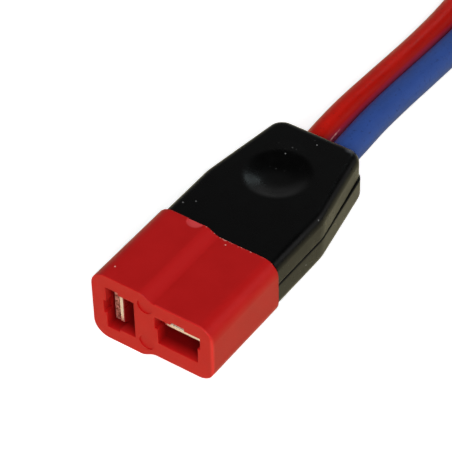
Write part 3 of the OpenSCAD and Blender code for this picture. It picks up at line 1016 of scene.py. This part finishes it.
line_height = STRIP_HEIGHT + STRIP_EDGE
strip_profile = [(0, 0), *round_top(line_height, STRIP_EDGE, STRIP_STEPS)]
overhang = [(OVERHANG_DEPTH * inward, line_height + down) for inward, down in quarter(OVERHANG_EDGE)]
upper_profile = [*overhang, *round_top(upper_height, UPPER_EDGE)]
upper_rings = shell_rings(cover_outline(), strip_profile, 1)
upper_rings += shell_rings(cover_outline(SHELL_SLIP), upper_profile, 1)
upper_shell = hollowed_shell("upper_shell", upper_rings)
for shell in (upper_shell, lower_shell):
    print(shell.name, "starts with", len(shell.data.polygons), "faces")

# %% [markdown]
# Inside, both shells have the same hollow: room for the solder joints with a web between them, a
# lip that holds the housing's neck, and two holes for the leads. Two pegs in the upper shell fit
# two bosses in the lower one. The upper shell keeps a disc of material under the thumb hollow.

# %% Inside of the shells
LEAD_GAP = 0.05 * MM
WEB_HALF = 0.4 * MM
BOSS_RADIUS, BOSS_BACK = 1.0 * MM, 7.5 * MM
PEG_RADIUS, PEG_HEIGHT = 0.6 * MM, 1.0 * MM
GRIP_WALL = 0.75 * MM
inside_y = joint_y + LIP_LENGTH
back_y = rear_y - REAR_WALL
tab_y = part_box("flat_contact")[1].y
boss_y = rear_y - BOSS_BACK
boss_x = plan_half(boss_y, SHELL_WALL) - BOSS_RADIUS + FIT_GAP


def room_outline():
    """Plan of the room inside the shells."""
    turn_y = kink_y - SHELL_WALL * math.tan(taper / 2)
    right = [(plan_half(y, SHELL_WALL), y) for y in (inside_y, turn_y, back_y)]
    return [*right, *[(-x, y) for x, y in reversed(right)]]


def upright_rod(x, y, low, high, radius, side):
    """A rod between two heights over the seam, or under it for side -1."""
    return rod((x, y, seam_z + side * low), (x, y, seam_z + side * high), radius)


def hollow_out(shell, height, side):
    """Cuts the room, the lip's opening and the holes of the leads into a shell."""
    ceiling = height - SHELL_WALL
    levels = (seam_z - side * OVER, seam_z + side * ceiling)
    room_tool = loft("tool", [[Vector((x, y, z)) for x, y in room_outline()] for z in levels])
    web_low = (-WEB_HALF, tail_y + FIT_GAP, seam_z - height)
    shape_with(room_tool, block(web_low, (WEB_HALF, tab_y + FIT_GAP, seam_z + height)))
    for x in (-boss_x, boss_x):
        shape_with(room_tool, upright_rod(x, boss_y, -2 * OVER, height + OVER, BOSS_RADIUS, side))
    if side > 0:
        floor_under_grip = height - GRIP_DEPTH - GRIP_WALL
        disc = upright_rod(GRIP_X, grip_y, floor_under_grip, height + OVER, GRIP_RADIUS, side)
        shape_with(room_tool, disc)
    shape_with(shell, room_tool)
    neck_half = flange_x - LIP_GRIP + FIT_GAP
    lip_z = sorted((seam_z - side * OVER, seam_z + side * (ceiling - LIP_GRIP)))
    lip_low = (-neck_half, joint_y - OVER, lip_z[0])
    shape_with(shell, block(lip_low, (neck_half, inside_y + OVER, lip_z[1])))
    for lead in (RED, BLUE):
        x = lead * (LEAD_RADIUS + LEAD_APART * MM)
        start, end = (x, back_y - OVER, seam_z), (x, rear_y + OVER, seam_z)
        shape_with(shell, rod(start, end, LEAD_RADIUS + LEAD_GAP))


hollow_out(upper_shell, upper_height, 1)
hollow_out(lower_shell, lower_height, -1)
for x in (-boss_x, boss_x):
    peg = upright_rod(x, boss_y, -PEG_HEIGHT, SLIVER, PEG_RADIUS, 1)
    shape_with(upper_shell, peg, "UNION")
    hole = upright_rod(x, boss_y, -OVER, PEG_HEIGHT + FIT_GAP, PEG_RADIUS + LEAD_GAP, -1)
    shape_with(lower_shell, hole)
finish_piece(shade(upper_shell), "cover_plastic", "upper_cover")
finish_piece(shade(lower_shell), "cover_plastic", "lower_cover")

# %% [markdown]
# ## Contacts, springs and solder
#
# The stamped pieces and the solder already have their true form in the model, with edges that are
# knife-sharp. Nothing stamped has such edges, and a thin bright line along each edge is what makes
# metal look like metal. So each gets a welded copy, and a Bevel modifier rounds its edges. These
# shapes are simple enough for it.

# %% Soften the edges of the small metal pieces
WELD = 0.001 * MM
BEVEL_STEPS = 3


def welded_copy(name, node):
    """A copy of a CAD node's mesh with its loose triangles joined into whole faces."""
    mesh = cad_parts[node].data.copy()
    mesh.materials.clear()
    work = bmesh.new()
    work.from_mesh(mesh)
    bmesh.ops.remove_doubles(work, verts=work.verts, dist=WELD)
    bmesh.ops.dissolve_limit(work, angle_limit=FLAT, verts=work.verts, edges=work.edges)
    work.to_mesh(mesh)
    work.free()
    return add_object(name, mesh)


def soften(piece, radius):
    """Rounds the sharp edges by a radius in millimetres."""
    bevel = piece.modifiers.new("edges", "BEVEL")
    bevel.width = radius * MM
    bevel.segments = BEVEL_STEPS
    bevel.limit_method = "ANGLE"
    bevel.angle_limit = SHARP
    return shade(settle(piece))


# Each row: name of the piece, the node it stands for, its finish and the edge radius in millimetres
METAL_PIECES = [
    ("upright_blade", "upright_contact", "contact_plating", 0.06),
    ("flat_blade", "flat_contact", "contact_plating", 0.06),
    ("upright_leaf", "upright_spring", "spring_bronze", 0.04),
    ("flat_leaf", "flat_spring", "spring_bronze", 0.04),
    ("red_solder", "red_solder_joint", "solder", 0.05),
    ("blue_solder", "blue_solder_joint", "solder", 0.05),
]
for name, node, slot, edge in METAL_PIECES:
    finish_piece(soften(welded_copy(name, node), edge), slot, node)

# %% [markdown]
# ## The sleeves of the leads
#
# A sleeve follows a path, so Geometry Nodes make it: the row of points becomes a curve, a circle is
# swept along it, and both ends are closed. The same tree makes both sleeves.

# %% Tree that sweeps a sleeve
SLEEVE_SIDES = 40


def swept(tree, path, sides, radius, material):
    """Ends a tree in round tubes along its paths, smooth and closed at both ends."""
    inputs = {"Resolution": sides, "Radius": radius}
    ring = add_node(tree, "GeometryNodeCurvePrimitiveCircle", inputs).outputs[0]
    inputs = {"Curve": path, "Profile Curve": ring, "Fill Caps": True}
    wall = add_node(tree, "GeometryNodeCurveToMesh", inputs).outputs[0]
    smooth = add_node(tree, "GeometryNodeSetShadeSmooth", {"Geometry": wall}).outputs[0]
    close_tree(tree, smooth, material)
    return tree


def sleeve_tree():
    inputs = [
        ("Radius", "NodeSocketFloat", LEAD_RADIUS),
        ("Sides", "NodeSocketInt", SLEEVE_SIDES),
        ("Material", "NodeSocketMaterial", None),
    ]
    tree, given = new_tree("sleeve", inputs)
    path = add_node(tree, "GeometryNodeMeshToCurve", {"Mesh": given["Geometry"]}).outputs[0]
    return swept(tree, path, given["Sides"], given["Radius"], given["Material"])


def tube(name, line, radius, sides, material):
    """A round tube along the line."""
    return use_tree(line_object(name, line), sleeves, radius=radius, sides=sides, material=material)


sleeves = sleeve_tree()
for name, slot, node, line in (
    ("red_sleeve", "red_insulation", "red_lead", red_line),
    ("blue_sleeve", "blue_insulation", "blue_lead", blue_line),
):
    lead = tube(name, line, LEAD_RADIUS, SLEEVE_SIDES, finishes[slot])
    lead.data.set_sharp_from_angle(angle=SHARP)
    finish_piece(lead, slot, node)

# %% [markdown]
# ## The strands
#
# Silicone leads hold hundreds of hair-thin tinned strands. Where they show, at the bare ends and
# under the solder, they are laid in rings, each ring with six strands more than the one inside it,
# and the whole bundle is twisted. One tree makes a ring: it copies the path, turns each copy round
# it, cuts each at a slightly different length and sweeps a thin circle along it.

# %% Tree that lays one ring of strands
STRAND_SIDES = 6
SHORTEST_STRAND = 0.965


def strand_ring_tree():
    inputs = [
        ("Count", "NodeSocketInt", 6),
        ("Ring Radius", "NodeSocketFloat", 0.5 * MM),
        ("Strand Radius", "NodeSocketFloat", 0.1 * MM),
        ("Lay Length", "NodeSocketFloat", 20 * MM),
        ("Seed", "NodeSocketInt", 1),
        ("Material", "NodeSocketMaterial", None),
    ]
    tree, given = new_tree("strand_ring", inputs)

    path = add_node(tree, "GeometryNodeMeshToCurve", {"Mesh": given["Geometry"]}).outputs[0]
    inputs = {"Geometry": path, "Amount": given["Count"]}
    copies = add_node(tree, "GeometryNodeDuplicateElements", inputs, domain="SPLINE").outputs
    along = add_node(tree, "GeometryNodeSplineParameter").outputs["Length"]
    share = number_node(tree, "DIVIDE", copies["Duplicate Index"], given["Count"])
    turns = number_node(tree, "DIVIDE", along, given["Lay Length"])
    angle = number_node(tree, "MULTIPLY", number_node(tree, "ADD", share, turns), 2 * math.pi)
    ahead = add_node(tree, "GeometryNodeInputTangent").outputs[0]
    level = vector_node(tree, "CROSS_PRODUCT", {0: ahead, 1: (0, 0, 1)})
    aside = vector_node(tree, "NORMALIZE", {0: level})
    raised = vector_node(tree, "CROSS_PRODUCT", {0: aside, 1: ahead})
    parts = []
    for direction, wave in ((aside, "COSINE"), (raised, "SINE")):
        amount = number_node(tree, "MULTIPLY", number_node(tree, wave, angle), given["Ring Radius"])
        parts.append(vector_node(tree, "SCALE", {0: direction, "Scale": amount}))
    offset = vector_node(tree, "ADD", dict(enumerate(parts)))
    inputs = {"Geometry": copies["Geometry"], "Offset": offset}
    laid = add_node(tree, "GeometryNodeSetPosition", inputs).outputs[0]
    cut = add_node(tree, "FunctionNodeRandomValue", {"Seed": given["Seed"]}, data_type="FLOAT")
    join(tree, SHORTEST_STRAND, in_use(cut.inputs, "Min"))
    join(tree, 1.0, in_use(cut.inputs, "Max"))
    trimmed = add_node(tree, "GeometryNodeTrimCurve", {"Curve": laid}, mode="FACTOR")
    join(tree, in_use(cut.outputs, "Value"), in_use(trimmed.inputs, "End"))
    return swept(tree, trimmed.outputs[0], STRAND_SIDES, given["Strand Radius"], given["Material"])


strand_rings = strand_ring_tree()
print("nodes in the tree of the strands:", len(strand_rings.nodes))

# %% [markdown]
# A bundle is one strand in the middle and rings of 6, 12, 18 and 24 round it. The rings are joined
# into one mesh. The tinned ends also get the solder that has soaked between the strands: a smooth
# core just thinner than the bundle.

# %% Bundles of strands
RINGS = 4
TIP_LAY, CORE_LAY = 16 * MM, 30 * MM
TIP_STEPS = 20
SOLDER_SIDES = 32
SOLDER_BELOW = 0.9


def bundle(name, line, lay, filled):
    """One mesh of twisted strands along the line, with or without the solder between them."""
    tin = finishes["tinned_strands"]
    strand = CORE_RADIUS / (2 * RINGS + 1)
    layers = []
    for ring in range(RINGS + 1):
        layers.append(use_tree(
            line_object(f"{name}_{ring}", line),
            strand_rings,
            count=max(1, 6 * ring),
            ring_radius=2 * strand * ring,
            strand_radius=strand,
            lay_length=lay,
            seed=ring,
            material=tin,
        ))
    if filled:
        soaked_radius = CORE_RADIUS - SOLDER_BELOW * strand
        layers.append(tube(f"{name}_solder", line[:-1], soaked_radius, SOLDER_SIDES, tin))
    work = bmesh.new()
    for layer in layers:
        work.from_mesh(layer.data)
        bpy.data.objects.remove(layer)
    mesh = bpy.data.meshes.new(name)
    work.to_mesh(mesh)
    work.free()
    mesh.materials.append(tin)
    return add_object(name, mesh)


def tip_line(node):
    """The middle line of a bare end, which lies along +Y."""
    low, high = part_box(node)
    middle = (low + high) / 2
    start, end = Vector((middle.x, low.y, middle.z)), Vector((middle.x, high.y, middle.z))
    return [start.lerp(end, i / TIP_STEPS) for i in range(TIP_STEPS + 1)]


for name, node in (("red_tip", "red_lead_tip"), ("blue_tip", "blue_lead_tip")):
    tip = bundle(name, tip_line(node), TIP_LAY, filled=True)
    finish_piece(tip, "tinned_strands", node)

# %% [markdown]
# Inside the cover, each lead's strands run from its contact's solder tab to the end of the sleeve.
# Their line is read from the solder joint's box and from the lead's first point.

# %% Strands under the cover
BEND_BACK = 0.7 * MM
NEARLY_LEVEL = 0.1 * MM
CORE_STEPS = 8


def core_line(node, joint, lead_start):
    """From the tab, straight through the solder joint, and then over to the lead."""
    low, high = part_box(node)
    x = low.x + CORE_RADIUS if lead_start.x > (low.x + high.x) / 2 else high.x - CORE_RADIUS
    is_low = lead_start.z > (low.z + high.z) / 2 + NEARLY_LEVEL
    z = low.z + CORE_RADIUS if is_low else lead_start.z
    start = Vector((x, low.y, z))
    bend = Vector((x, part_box(joint)[1].y + BEND_BACK, z))
    near = lead_start - Vector((0, CORE_RADIUS, 0))
    return smooth_line([start, start.lerp(bend, 0.5), bend, near, lead_start], CORE_STEPS)


for name, node, joint, side in (
    ("red_strands", "red_lead_core", "red_solder_joint", RED),
    ("blue_strands", "blue_lead_core", "blue_solder_joint", BLUE),
):
    line = core_line(node, joint, lead_points(side)[0])
    finish_piece(bundle(name, line, CORE_LAY, filled=False), "tinned_strands", node)

# %% [markdown]
# ## The leads
#
# A lead is a free cord: it has a real length and diameter, and a stripped end.


# %% [markdown]
# ## The studio
#
# The connector lies on a white sheet. Its sides mirror the sheet, and its top mirrors what is above
# and behind it, which is dark. That contrast draws the black cover. The camera sees the sheet as
# white, and only near the connector a little less, so that its shadow shows. The connector itself
# sees a dimmer sheet with a warm tint.

# %% Floor
FLOOR_SIZE = 4.0
WARM = (0.80, 0.74, 0.48, 1.0)
SHADOW_REACH, SHADOW_END = 0.15, 0.45
SHEET_GLOW, MIRRORED_GLOW = 0.62, 0.22


def paper():
    """Paper with a warm tint. The camera sees it as white, so that it runs into the background."""
    material = bpy.data.materials.new("paper")
    material.use_nodes = True
    tree = material.node_tree
    tree.nodes.clear()
    ray = add_node(tree, "ShaderNodeLightPath").outputs
    place = add_node(tree, "ShaderNodeTexCoord").outputs["Object"]
    away = vector_node(tree, "LENGTH", {0: place}, "Value")
    white = ramp_node(tree, away, SHADOW_REACH, SHADOW_END, SHEET_GLOW, 1.0)
    warm = add_node(tree, "ShaderNodeBsdfDiffuse", {"Color": WARM}).outputs[0]
    plain = add_node(tree, "ShaderNodeBsdfDiffuse", {"Color": grey(0.8)}).outputs[0]
    look = add_node(tree, "ShaderNodeMixShader", {0: ray["Is Camera Ray"], 1: warm, 2: plain})
    for kind, colour, strength in (
        ("Is Camera Ray", grey(1.0), white),
        ("Is Glossy Ray", WARM, MIRRORED_GLOW),
        ("Is Transmission Ray", WARM, MIRRORED_GLOW),
    ):
        amount = number_node(tree, "MULTIPLY", ray[kind], strength)
        glow = add_node(tree, "ShaderNodeEmission", {"Color": colour, "Strength": amount})
        look = add_node(tree, "ShaderNodeAddShader", {0: look.outputs[0], 1: glow.outputs[0]})
    add_node(tree, "ShaderNodeOutputMaterial", {"Surface": look.outputs[0]})
    return material


half = FLOOR_SIZE / 2
floor_corners = [(-half, -half, 0), (half, -half, 0), (half, half, 0), (-half, half, 0)]
floor_mesh = bpy.data.meshes.new("floor")
floor_mesh.from_pydata(floor_corners, [], [(0, 1, 2, 3)])
floor = add_object("floor", floor_mesh)
floor_mesh.materials.append(paper())
floor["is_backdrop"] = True

# %% [markdown]
# The room is brightest at the horizon and fades upwards, so the rounded edges of the black cover run
# softly from light to dark. A faint glow behind and a small cool lamp shine in the thumb hollow. The
# key light stands near the camera, where no upward face mirrors it into the lens.

# %% World and lamps
HORIZON_GLOW, OVERHEAD_GLOW, FADE_HEIGHT = 0.38, 0.01, 0.5
BEHIND, BEHIND_SPREAD, BEHIND_GLOW = (205, 34), (0.86, 0.99), 0.15
# Each row: name, azimuth, elevation, distance, size, power and colour
LAMPS = [
    ("key_light", 38, 38, 0.9, 0.52, 8.2, (1, 1, 1)),
    ("window", 190, 28, 0.8, 0.12, 0.17, (0.8, 0.97, 1.0)),
    ("left_fill", 290, 30, 0.8, 0.4, 1.4, (1, 1, 1)),
    ("right_fill", 135, 30, 0.8, 0.4, 0.5, (1, 1, 1)),
]


def toward_lamp(azimuth, elevation):
    """The direction of a lamp. The azimuth turns as the camera's does."""
    turn, rise = math.radians(azimuth), math.radians(elevation)
    return Vector((math.sin(turn) * math.cos(rise), -math.cos(turn) * math.cos(rise), math.sin(rise)))


def room():
    """Bright near the horizon, a faint glow behind, dark overhead, and white to the camera itself."""
    world = bpy.data.worlds.new("room")
    world.use_nodes = True
    tree = world.node_tree
    tree.nodes.clear()
    toward = add_node(tree, "ShaderNodeTexCoord").outputs["Generated"]
    height = add_node(tree, "ShaderNodeSeparateXYZ", {0: toward}).outputs["Z"]
    fading = ramp_node(tree, height, 0.0, FADE_HEIGHT, HORIZON_GLOW, OVERHEAD_GLOW)
    nearness = vector_node(tree, "DOT_PRODUCT", {0: toward, 1: toward_lamp(*BEHIND)}, "Value")
    behind = ramp_node(tree, nearness, *BEHIND_SPREAD, 0.0, BEHIND_GLOW)
    level = number_node(tree, "ADD", fading, behind)
    air = add_node(tree, "ShaderNodeBackground", {"Color": grey(1.0), "Strength": level}).outputs[0]
    white = add_node(tree, "ShaderNodeBackground", {"Color": grey(1.0), "Strength": 1.0}).outputs[0]
    to_camera = add_node(tree, "ShaderNodeLightPath").outputs["Is Camera Ray"]
    look = add_node(tree, "ShaderNodeMixShader", {0: to_camera, 1: air, 2: white})
    add_node(tree, "ShaderNodeOutputWorld", {"Surface": look.outputs[0]})
    return world


def soft_lamp(name, azimuth, elevation, distance, size, power, colour):
    """A square lamp that looks at the connector."""
    lamp = bpy.data.lights.new(name, "AREA")
    lamp.shape = "SQUARE"
    lamp.size = size
    lamp.energy = power
    lamp.color = colour
    toward = toward_lamp(azimuth, elevation)
    stand = add_object(name, lamp)
    stand.location = toward * distance
    stand.rotation_mode = "QUATERNION"
    stand.rotation_quaternion = toward.to_track_quat("Z", "Y")


bpy.context.scene.world = room()
for row in LAMPS:
    soft_lamp(*row)
bpy.context.scene.view_settings.view_transform = "Standard"
print("lamps:", ", ".join(row[0] for row in LAMPS))

# %% [markdown]
# ## The size of the dressed part
#
# Last, the size of the dressed part is measured against the model's own and printed.

# %% Sizes and finish
look_low, look_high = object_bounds()
grown = [max(a - b, d - c) / MM for a, b, c, d in zip(cad_low, look_low, cad_high, look_high)]
print("the dressed part stands proud by", [round(g, 3) for g in grown], "mm")
